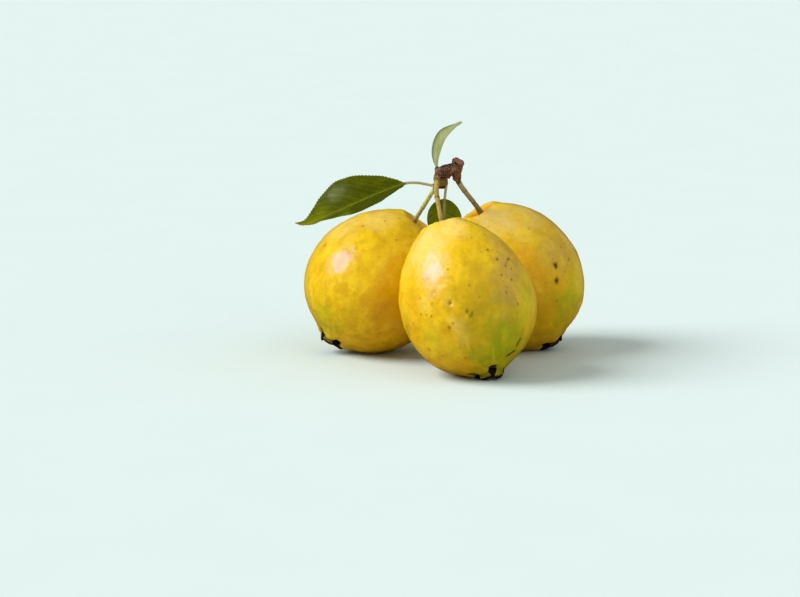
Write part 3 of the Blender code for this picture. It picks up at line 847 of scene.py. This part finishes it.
def sepal(length, seed):
    """One thick sepal, x across it, y from the axis, z away from the fruit; and where it is dark: dry tissue,
    with painted shade on its edges, its end and its inner face.
    """
    v = np.linspace(0, 1, SEPAL_STEPS)[:, None]
    turn = 2 * np.pi * np.arange(SEPAL_SIDES)[None, :] / SEPAL_SIDES
    across, through = (np.sign(f(turn)) * np.abs(f(turn)) ** 0.75 for f in (np.cos, np.sin))
    q = stacked(3 * across, 1.5 * through, length * v + seed * 7.0)
    broad = 2.45 + 0.95 * smoothstep(0.05, 0.65, v)
    broad = broad * np.sqrt(np.clip(1 - np.clip((v - 0.55) / 0.47, 0, 1) ** 2.6, 0.004, 1))
    broad = broad * (1 + 0.10 * noise(q, 1.7, seed) + 0.06 * noise(q, 0.8, seed + 1))
    thick = (1.05 - 0.60 * v) * (1 + 0.20 * noise(q, 1.2, seed + 2)) * (0.35 + 0.65 * broad / broad.max())
    tall = SEPAL_ROOT + (length - SEPAL_ROOT) * (v + 0.06 * noise(q, 1.3, seed + 3) * v)
    x = broad * across
    ribs = 0.08 * np.cos(x * 4.2 + 0.5 * noise(q, 2, seed + 4)) + 0.10 * noise(q, 0.7, seed + 5)
    face = np.interp(tall, *zip(*SEPAL_FACE))
    y = face - thick * (1 - through) + ribs * smoothstep(0.15, 0.4, v)
    y = y - 0.065 * x ** 2 + 0.35 * noise(q * np.array([1, 0, 1]), 3.2, seed + 6) * v
    edge = smoothstep(0.86, 1.0, np.abs(across))
    end = smoothstep(0.64, 0.82, v + 0.06 * noise(q, 0.9, seed + 7))
    inside = smoothstep(0.1, -0.2, through)
    return stacked(x, y, tall), np.maximum(np.maximum(edge, end), inside)


def cup(floor, start, number):
    profile = curve_points([(r, 0, z) for r, z in CUP_PROFILE], 0, CUP_PROFILE_STEPS)[0]
    circle = 2 * np.pi * np.arange(CUP_SEGMENTS) / CUP_SEGMENTS
    radius, tall = profile[:, :1], profile[:, 2:]
    around = stacked(radius * np.cos(circle), radius * np.sin(circle), tall + number * 9.0)
    radius = radius * (1 + 0.05 * noise(around, 1.5, 60 + number))
    tall = tall + 0.16 * noise(around, 0.9, 61 + number) * smoothstep(0.3, 1.2, tall)
    circle = circle + start
    return loft(stacked(radius * np.cos(circle), radius * np.sin(circle), floor - tall), edge=1.0)


def stamens(floor, number):
    """What is left of the stamens: thin threads that stand in the cup and lean every way."""
    draw = np.random.RandomState(90 + number)
    steps = np.linspace(0, 1, STAMEN_STEPS)[:, None]
    for _ in range(STAMENS):
        outward, sideways = compass(draw.uniform(0, 2 * np.pi))
        begin = draw.uniform(1.2, 3.6)
        high = draw.uniform(1.2, 2.6)
        lean = draw.uniform(-0.9, 0.5, 2)
        bend = (lean[0] * outward + lean[1] * sideways) * 1.6 * steps ** 2
        path = begin * outward + bend + np.array([0, 0, floor - 0.7]) - np.array([0, 0, high]) * steps
        yield loft(tube_rings(path, np.linspace(0.13, 0.07, STAMEN_STEPS), 6), stamen=1.0)


def style(floor):
    """The dried stub of the style, in the middle of the cup."""
    path, widths = curve_points([(x, y, floor - z) for x, y, z in STYLE_PATH], STYLE_RADII, 16)
    return loft(tube_rings(path, widths, 12), stamen=0.5)


def make_calyx(place, fruit, number, material):
    """The dried cup, its five thick sepals, the stub of the style and what is left of the stamens."""
    turn, centre = fruit_frame(fruit)
    floor = -fruit.length / 2 + CALYX_PIT[0] - CUP_LIFT
    start = calyx_angle(fruit)
    shells = [cup(floor, start, number)]
    for k in range(SEPALS):
        body, dark = sepal(fruit.sepals[k], 200 + 40 * number + 8 * k)
        outward, sideways = compass(start + 2 * np.pi * k / SEPALS)
        local = body[..., 1:2] * outward + body[..., :1] * sideways
        local[..., 2] = floor - body[..., 2]
        shells.append(loft(local, edge=dark, fresh=FRUIT_LOOKS[place].fresh * (1 - dark)))
    shells += [*stamens(floor, number), style(floor)]
    drop = drop_of(fruit)
    for points, _, _ in shells:
        points[:] = points @ turn.T + centre
        points[:, 2] = np.maximum(points[:, 2] - drop, 0)
    name = f"calyx_detail_{place}"
    return piece(name, mesh_of(name, shells), material, f"calyx_{place}")


# -------------------- stalks and twig

# Per stalk: colours at the top, low down and at the foot, and the nodes along it (share, swelling in mm).
# The left and right stalks are lighter at the top and darker low down: partly their own colours, partly
# painted light and painted shade.
STALK_LOOKS = {
    "front": ((0.42, 0.315, 0.075), (0.42, 0.31, 0.070), (0.30, 0.17, 0.030), ((0.50, 0.17), (0.83, 0.09))),
    "right": ((0.42, 0.42, 0.26), (0.215, 0.20, 0.062), (0.36, 0.13, 0.025), ((0.30, 0.10), (0.62, 0.06))),
    "left": ((0.66, 0.76, 0.31), (0.47, 0.47, 0.18), (0.36, 0.26, 0.050), ((0.55, 0.08),)),
}


def make_stalk(place, number, material, nodes):
    path, widths = curve_points(*STALKS[place], STALK_STEPS)
    s = np.linspace(0, 1, STALK_STEPS + 1)[:, None]
    rings = tube_rings(path, widths, STALK_SIDES)
    q = rings + np.array([0, 40.0 * number, 0])
    angle = 2 * np.pi * np.arange(STALK_SIDES) / STALK_SIDES
    ribs = stacked(np.cos(angle)[None], np.sin(angle)[None], s * 5 + number)
    swell = 0.09 * noise(ribs, 0.55, 30 + number) + 0.07 * noise(q, 2.4, 31 + number)
    swell += 0.03 * noise(q, 0.7, 32)
    knots = np.zeros(q.shape[:2])
    for where, high in nodes:
        swell = swell + high * bell(s, where, 0.022)
        knots = np.maximum(knots, bell(s, where + 0.004 * np.sin(angle), 0.012) * min(1, high / 0.14))
    out = unit(rings - path[:, None])
    bend = 0.22 * np.stack([noise(path + k * 50.0, 9, 33 + number) for k in range(3)], -1)[:, None]
    shown = smoothstep(0.0, 0.15, s) * fall(0.8, 0.95, s)
    rings = rings + out * swell[..., None] + bend * shown[..., None]
    foot = smoothstep(0.83, 0.90, s + 0.02 * noise(q, 1.5, 34))
    start = fall(0.095, 0.135, s + 0.04 * noise(q, 1.3, 35))
    shell = loft(rings, along=s, node=knots, foot=foot, start=start)
    name = f"stalk_{place}"
    return piece(name, mesh_of(name, [shell]), material, f"stem_{place}")


TWIG_VOXEL = 0.16
TWIG_STEPS = 40
TWIG_SIDES = 32
CUT_TILT = np.array([0.08, -0.30, 0.0])         # the twig was cut a little slantwise, facing the front
CUT_DEPTH = 0.5
OLD_WOOD = (((4.0, 9.8, 97.0), 4.4), ((8.5, 9.7, 100.0), 4.0), ((8.0, 12.0, 93.8), 2.7),
            ((0.3, 8.0, 96.8), 4.6))            # centre, radius
SCAR_CENTRE = np.array([0.1, 5.2, 95.7])        # round branch scar on the knob, facing the front
SCAR_AXIS = unit(np.array([-0.18, -0.95, 0.22]))
SCAR_GROOVES = ((1.05, 0.24, 1.0), (2.05, 0.26, 1.0), (2.9, 0.22, 0.6))     # radius, width, strength
WRINKLES = ((99.3, 0.35), (97.4, 0.3), (95.6, 0.3))     # creases round the cut head: height, width
KNOB_CENTRE = np.array([0.6, 9.4, 92.0])
DRY_TIP = (0.2, 9.6)
COLLARS = (                                     # swollen starts of the stalks and petioles
    (((0.4, 8.0, 95.2), (-2.0, 4.2, 94.6), (-2.75, -0.2, 92.0)), (1.9, 1.95, 1.45)),
    (((7.9, 12.0, 93.6), (8.4, 14.2, 90.8), (10.0, 16.6, 87.7)), (1.8, 1.3, 1.2)),
    (((0.2, 9.8, 91.0), (-2.2, 11.6, 88.2), (-4.2, 13.6, 85.5)), (1.8, 1.5, 1.2)),
    (((0.2, 9.4, 91.2), (-2.2, 9.4, 89.8), (-4.6, 9.4, 89.0)), (1.5, 1.2, 0.66)),
    (((-0.6, 9.6, 94.8), (-2.0, 10.0, 96.6), (-2.6, 10.1, 98.6)), (1.6, 1.3, 0.66)),
    (((0.8, 10.0, 92.4), (2.0, 11.2, 91.2), (2.5, 12.2, 88.8)), (1.4, 1.1, 0.66)),
)


def rough_twig():
    """A mesh of the twig's limbs and of the collars on it, melted into one skin."""
    shells = []
    for points, radii in (TWIG_HEAD, TWIG_KNOB, *COLLARS):
        path, widths = curve_points(points, radii, TWIG_STEPS)
        shells.append(loft(tube_rings(path, widths, TWIG_SIDES)))
    rough = add_object("twig_rough", mesh_of("twig_rough", shells))
    remesh = rough.modifiers.new("one skin", "REMESH")
    remesh.mode = "VOXEL"
    remesh.voxel_size = TWIG_VOXEL * MM
    soft = rough.modifiers.new("soft joins", "SMOOTH")
    soft.factor = 0.5
    soft.iterations = 5
    bpy.context.view_layer.update()
    mesh = bpy.data.meshes.new_from_object(rough.evaluated_get(bpy.context.evaluated_depsgraph_get()))
    bpy.data.objects.remove(rough)
    return mesh


def vertex_values(mesh, name):
    values = np.zeros(len(mesh.vertices) * 3, np.float32)
    mesh.vertices.foreach_get(name, values)
    return values.reshape(-1, 3).astype(float)


def make_twig(material):
    """The twig: slantwise cut head, spur, knob with a ring scar, dry tip, bark on the old wood."""
    mesh = rough_twig()
    q = vertex_values(mesh, "co") / MM
    normals = vertex_values(mesh, "normal")
    top = np.array(TWIG_HEAD[0][0])
    head_axis = unit(unit(top - np.array(TWIG_HEAD[0][1])) + CUT_TILT)
    over = (q - top) @ head_axis + CUT_DEPTH
    q = q - np.maximum(over, 0)[:, None] * head_axis
    off_axis = np.linalg.norm(q - top - ((q - top) @ head_axis)[:, None] * head_axis, axis=1)
    cut = smoothstep(-0.30, -0.05, over) * fall(2.5, 2.9, off_axis + 0.3 * noise(q, 1.2, 507))
    rim = smoothstep(-1.2, -0.3, over) * fall(-0.3, 0.0, over)
    lip = smoothstep(-0.8, -0.3, over) * (1 - cut) * smoothstep(-0.15, 0.35, noise(q, 1.9, 509))

    old = np.min([np.linalg.norm(q - np.array(c), axis=1) - r for c, r in OLD_WOOD], axis=0)
    old = fall(0, 1.4, old + 0.5 * noise(q, 1.5, 508))
    deep = (q - SCAR_CENTRE) @ SCAR_AXIS
    ring_radius = np.linalg.norm(q - SCAR_CENTRE - deep[:, None] * SCAR_AXIS, axis=1)
    ring_radius *= 1 + 0.16 * noise(q, 2.2, 501)
    faces_out = smoothstep(-2.8, -1.4, deep)
    old = np.maximum(old, faces_out * fall(2.4, 3.4, ring_radius))
    grooves = faces_out * sum(high * bell(ring_radius, r, width) for r, width, high in SCAR_GROOVES)

    plates = 1 - 2 * np.abs(noise(q * np.array([1, 1, 0.7]), 1.7, 502))
    bark = 0.46 * fractal(q, 3.0, 503, 4) - 0.40 * fall(-0.2, 0.5, plates) + 0.15 * noise(q, 0.6, 504)
    height = old * bark
    height += (1 - old) * 0.10 * noise(q, 1.4, 505)
    height = height * (1 - cut) - 0.42 * grooves + 0.22 * rim
    height += faces_out * 0.30 * bell(ring_radius, 0, 0.7)
    growth_rings = 0.06 * np.cos(off_axis * 2 * np.pi / 0.55) + 0.10 * noise(q, 0.8, 506)
    height += cut * (growth_rings - 0.18)
    wrinkles = sum(bell(q[:, 2], z, width) for z, width in WRINKLES)
    height += -0.16 * wrinkles * smoothstep(4.8, 6.5, q[:, 0])

    band = fall(5.5, 7.5, np.linalg.norm(q - KNOB_CENTRE, axis=1)) * fall(92.6, 93.6, q[:, 2])
    tip = fall(88.3, 89.6, q[:, 2]) * fall(1.8, 2.6, np.hypot(*(q[:, :2] - DRY_TIP).T))
    masks = {"cut": cut, "groove": np.clip(grooves, 0, 1) * (1 - cut),
             "young": np.maximum(1 - old, 0.9 * band), "tip": tip, "lip": lip}
    for name, values in masks.items():
        add_mask(mesh, name, values)
    q = q + normals * height[:, None]
    mesh.vertices.foreach_set("co", (q * MM).astype(np.float32).ravel())
    mesh.update()
    mesh.shade_smooth()
    mesh.materials.clear()
    return piece("twig_wood", mesh, material, "twig")


# -------------------- leaves

# Pairs of side veins and how far they run on (share of the blade); size and pitch of the margin's teeth
# and how far it waves (mm); how the tip narrows, where it closes and how round; how far it turns to the
# front; how far the tip half has paled; painted sheen on the upper side; how dark the painted shade on one
# half is, which side of the midrib that half is, where it begins, is full and ends; how far the petiole's
# colour runs up the rib; whether the leaf casts a shadow; colours of the upper side, the underside (two
# each) and the veins.
LeafLook = namedtuple("LeafLook", "pairs run_on tooth pitch wave seed tip tip_turn pale_end bloom dusky "
                                  "dusky_side pale_rib shadow colours")
LEAF_LOOKS = {
    # The real left leaf leaves no shadow that shows on the fruit below it, so this one casts none.
    "left": LeafLook(10, 0.34, 0.50, 1.5, 0.55, 41, (0.9, 0.885, 1.15), 0.9, 0.9, 0.9, 0.85,
                     (-1, -0.02, 0.10, 0.60), 0.0, False,
                     ("leaf_green", (0.066, 0.091, 0.0006), (0.122, 0.146, 0.0010), (0.20, 0.23, 0.05),
                      (0.28, 0.31, 0.09), (0.24, 0.23, 0.020))),
    "top": LeafLook(9, 0.20, 0.03, 1.2, 0.08, 42, (0.30, 0.93, 2.2), 0.0, 0.2, 0.0, 0.8,
                    (1, 0.45, 0.75, 1.1), 0.0, True,
                    ("leaf_pale", (0.060, 0.085, 0.004), (0.100, 0.125, 0.008), (0.235, 0.275, 0.115),
                     (0.31, 0.35, 0.16), (0.24, 0.27, 0.08))),
    "hanging": LeafLook(9, 0.20, 0.10, 1.3, 0.35, 43, (0.9, 0.94, 2.0), 0.0, 0.0, 0.0, 0.0,
                        (1, 0, 1, 1), 0.50, True,
                        ("leaf_shaded", (0.078, 0.122, 0.001), (0.150, 0.195, 0.002), (0.18, 0.21, 0.04),
                         (0.24, 0.27, 0.07), (0.22, 0.23, 0.020))),
}


def leaf_half_width(leaf, s, taper, start, roundness):
    b = np.clip((s - leaf.petiole) / (1 - leaf.petiole), 0, 1)
    power = math.log(0.5) / math.log(leaf.widest)
    swell = np.sin(np.pi * np.clip(b, 1e-9, 1) ** power).clip(0) ** (BASE_ROUNDNESS + taper * b * b)
    past = np.clip((b - start) / (1 - start), 0, 1)
    tip = leaf.tip * (1 - past ** roundness) ** (1 / roundness) * smoothstep(0, start, b)
    blade = np.max([leaf.half_width * swell, PETIOLE_RADIUS * (1 - b), tip, TIP_WIDTH + 0 * b], axis=0)
    return np.where(s <= leaf.petiole, PETIOLE_RADIUS, blade), b


def side_veins(look, b, u, blade_length):
    """Masks of the side veins, which leave the midrib and bend forward to the margin, and of the
    cushions between them; b is the share along the blade and u the share across it."""
    draw = np.random.RandomState(look.seed)
    reach = np.abs(u)
    where = b - look.run_on * (0.72 * reach + 0.28 * reach ** 2)
    vein, cushions = np.zeros(where.shape), np.zeros(where.shape)
    for right in (-1, 1):
        even = (np.arange(look.pairs) + 0.35 + 0.2 * (right > 0)) / look.pairs * 0.86
        starts = even + draw.uniform(-0.012, 0.012, look.pairs)
        on_side = np.where(u >= 0, 1, -1) == right
        for start in starts:
            off = (where - start) * blade_length * 0.72
            found = bell(off, 0, 0.17) * fall(0.80, 0.97, reach)
            vein = np.maximum(vein, np.where(on_side, found * (1 - 0.45 * reach), 0))
        nearest = np.min([np.abs(where - start) for start in starts], axis=0) * look.pairs
        cushions += np.where(on_side, smoothstep(0.0, 0.45, nearest), 0)
    return vein, cushions


def make_leaf(place):
    """One leaf blade with its petiole."""
    leaf, look = LEAVES[place], LEAF_LOOKS[place]
    path, _ = curve_points(leaf.path, 0, LEAF_STEPS)
    s = np.linspace(0, 1, LEAF_STEPS + 1)
    length = np.linalg.norm(np.diff(path, axis=0), axis=1).sum()
    along = directions(path)
    base_face, tip_face = (np.array(f) for f in leaf.faces)
    face = base_face + (tip_face - base_face) * (s * s)[:, None]
    face = face - look.tip_turn * smoothstep(0.84, 0.97, s)[:, None] * np.array([0, 1, 0])
    face = unit(face - along * (face * along).sum(1)[:, None])
    across = np.cross(along, face)
    half, b = leaf_half_width(leaf, s, *look.tip)

    # Each ring goes over the upper side from one margin to the other, and back below. From here on
    # values along the leaf are columns, and values round a ring are rows.
    angle = np.pi * np.arange(LEAF_SIDE_POINTS * 2)[None, :] / LEAF_SIDE_POINTS
    u = np.sign(np.cos(angle)) * np.abs(np.cos(angle)) ** 0.9
    side = np.sin(angle)
    under = (side < -1e-9).astype(float)
    reach = np.abs(u)
    s, b, half = s[:, None], b[:, None], half[:, None]
    opened = smoothstep(leaf.petiole, leaf.petiole + BLADE_BLEND, s)
    between_ends = smoothstep(0.0, 0.06, b) * fall(0.93, 1.0, b)
    wide = half + ((s * length / look.pitch) % 1.0) ** 1.6 * look.tooth * between_ends
    x = u * wide

    vein, cushions = side_veins(look, b, u, length * (1 - leaf.petiole))
    midrib = bell(x, 0, 0.42 * (1 - 0.65 * b) + 0.08) * opened
    vein = vein * opened * smoothstep(0.5, 1.2, np.abs(x)) * (wide > 1.4)
    cushions = cushions * smoothstep(0.6, 2.5, np.abs(x)) * fall(0.75, 1.0, reach) * opened
    thickness = PETIOLE_RADIUS + (LEAF_THICKNESS / 2 - PETIOLE_RADIUS) * opened
    thickness = thickness * (1 - 0.35 * reach * opened)
    flat = stacked(x, s * length, look.seed * 9.0)
    h = thickness * side
    h = h - under * (MIDRIB_HEIGHT * opened * (1 - s) * bell(x, 0, MIDRIB_HALF_WIDTH) + 0.13 * vein)
    h = h - (1 - under) * (0.16 * vein + 0.20 * midrib)
    h = h + 0.13 * cushions * between_ends
    h = h + look.wave * reach ** 2 * opened * noise(flat, 8, look.seed + 1) * 1.3
    h = h + 0.35 * look.wave * opened * noise(flat, 14, look.seed + 2)
    h = h + 0.03 * opened * noise(flat, 1.4, look.seed + 3)
    lift = np.sqrt(x * x + FOLD_ROUNDING ** 2) - FOLD_ROUNDING
    fold = math.radians(leaf.fold) * opened
    rings = (path[:, None] + across[:, None] * (x * np.cos(fold))[..., None]
             + face[:, None] * (lift * np.sin(fold) + h)[..., None])

    petiole = fall(leaf.petiole - 0.02, leaf.petiole + 0.012, s)
    pale_rib = look.pale_rib * bell(x, 0, 0.75) * fall(0.18, 0.40, b)
    patchy = b * (1 + 0.35 * noise(flat, 6, look.seed + 4))
    # A painted sheen on the upper side, near the middle of the blade.
    bloom = look.bloom * bell(b, 0.57, 0.09) * bell(u, 0.64, 0.24)
    bloom = bloom * (0.7 + 0.5 * noise(flat, 3, look.seed + 5))
    # Painted shade over one half of the blade, fading out towards the tip.
    side_of_rib, low, high, ends = look.dusky_side
    dusky = smoothstep(low, high, side_of_rib * u) * fall(ends - 0.12, ends + 0.12, patchy) * opened
    shell = loft(rings, vein=np.clip(np.maximum(1.1 * vein, midrib * 0.85), 0, 1), under=under,
                 petiole=np.maximum(petiole, pale_rib), rim=smoothstep(0.955, 0.995, reach) * opened,
                 yellowed=look.pale_end * smoothstep(0.50, 1.05, patchy),
                 bloom=np.clip(bloom, 0, 1) * (1 - under), dusky=look.dusky * dusky)
    name = f"leaf_blade_{place}"
    blade = piece(name, mesh_of(name, [shell]), leaf_material(*look.colours), f"leaf_{place}")
    blade.visible_shadow = look.shadow


# -------------------- the object


def build():
    skin = skin_material()
    calyx = calyx_material()
    for number, (place, fruit) in enumerate(FRUITS.items(), 1):
        make_fruit(place, fruit, number, skin)
        make_calyx(place, fruit, number, calyx)
        *colours, nodes = STALK_LOOKS[place]
        make_stalk(place, number, stalk_material(f"stalk_{place}", *colours), nodes)
    make_twig(bark_material())
    for place in LEAVES:
        make_leaf(place)


# -------------------- studio

MINT = (0.783, 0.913, 0.887)
ROOM = (1.0, 0.98, 0.94)
FILL = 0.40                             # how much light the room throws on the object
GLEAM = 0.07                            # how bright the room looks in the object's sheen
FLOOR_RADIUS = 12.0                     # metres
FLOOR_SIDES = 96
FLOOR_DEPTH = 0.05                      # millimetres below the resting spots
FLOOR_COLOURS = ((0.676, 0.803, 0.809), (0.682, 0.811, 0.817))
FLOOR_BOUNCE = (0.50, 0.44, 0.34)       # what the floor throws back on the fruits: warm and dim
FLOOR_GLEAM = (0.12, 0.10, 0.07)        # how the floor looks in their sheen
# Soft lamps: name, strength, degrees of sky that it fills, direction towards it, colour, and
# whether it makes the gleam on the surface or else the light on it.
LAMPS = (
    ("softbox", 3.15, 38, (-0.770, -0.120, 0.620), (1.0, 0.98, 0.95), False),
    ("softbox_gleam", 3.6, 33, (-0.765, -0.215, 0.605), (0.26, 0.28, 1.0), True),
    ("bounce", 0.85, 90, (0.80, -0.45, 0.45), (1.0, 0.98, 0.95), False),
)
CAMERA_PLACE = (-0.0211, -1.4300, 0.3018)
CAMERA_TILT = 79.332
CAMERA_LENS = 129.15
CAMERA_SENSOR = 36


def make_floor():
    n = Nodes("floor_pale", Specular_IOR_Level=0.0)
    shade = n.noise(60, 3, 0.5)
    pale = n.mix(n.ramp(shade, 0.3, 0.7), *FLOOR_COLOURS)
    thrown = n.mix(n.node("LightPath", {}, "Is Glossy Ray"), FLOOR_BOUNCE, FLOOR_GLEAM)
    colour = n.mix(n.node("LightPath", {}, "Is Camera Ray"), thrown, pale)
    n.finish(colour, n.ramp(shade, 0.3, 0.7, 0.9, 1.0), n.bump(n.noise(2.5, 2), 0.01))
    mesh = bpy.data.meshes.new("floor")
    angles = np.arange(FLOOR_SIDES) * 2 * np.pi / FLOOR_SIDES
    rim = [(FLOOR_RADIUS * math.cos(a), FLOOR_RADIUS * math.sin(a), -FLOOR_DEPTH * MM) for a in angles]
    mesh.from_pydata(rim, [], [list(range(FLOOR_SIDES))])
    mesh.materials.append(n.material)
    add_object("floor", mesh)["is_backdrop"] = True


def make_world():
    """A room that is dim in reflections and mint to the camera."""
    world = bpy.data.worlds.new("studio")
    bpy.context.scene.world = world
    world.use_nodes = True
    tree = world.node_tree
    fill = tree.nodes["Background"]
    fill.inputs["Color"].default_value = (*ROOM, 1)
    fill.inputs["Strength"].default_value = FILL
    surface = fill.outputs[0]
    ray = tree.nodes.new("ShaderNodeLightPath")
    for kind, colour, strength in (("Is Glossy Ray", ROOM, GLEAM), ("Is Camera Ray", MINT, 1.0)):
        seen = tree.nodes.new("ShaderNodeBackground")
        seen.inputs["Color"].default_value = (*colour, 1)
        seen.inputs["Strength"].default_value = strength
        mix = tree.nodes.new("ShaderNodeMixShader")
        tree.links.new(ray.outputs[kind], mix.inputs[0])
        tree.links.new(surface, mix.inputs[1])
        tree.links.new(seen.outputs[0], mix.inputs[2])
        surface = mix.outputs[0]
    tree.links.new(surface, tree.nodes["World Output"].inputs["Surface"])


def make_light(name, strength, angle, towards, colour, gleam):
    light = bpy.data.lights.new(name, "SUN")
    light.energy = strength
    light.angle = math.radians(angle)
    light.color = colour
    ob = add_object(name, light)
    ob.rotation_euler = Vector(towards).to_track_quat("Z", "Y").to_euler()
    ob.visible_glossy = gleam
    ob.visible_diffuse = not gleam


def make_camera():
    camera = bpy.data.cameras.new("camera")
    camera.lens = CAMERA_LENS
    camera.sensor_width = CAMERA_SENSOR
    camera.clip_start = 0.05
    camera.clip_end = 60
    ob = add_object("camera", camera)
    ob.location = CAMERA_PLACE
    ob.rotation_euler = Euler((math.radians(CAMERA_TILT), 0, 0))
    bpy.context.scene.camera = ob
    bpy.context.scene.view_settings.view_transform = "Standard"


build()
make_floor()
make_world()
for lamp in LAMPS:
    make_light(*lamp)
make_camera()
boxes = {"cad_box": cad_box, "visual_box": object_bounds()}
{name: [list(corner) for corner in box] for name, box in boxes.items()}
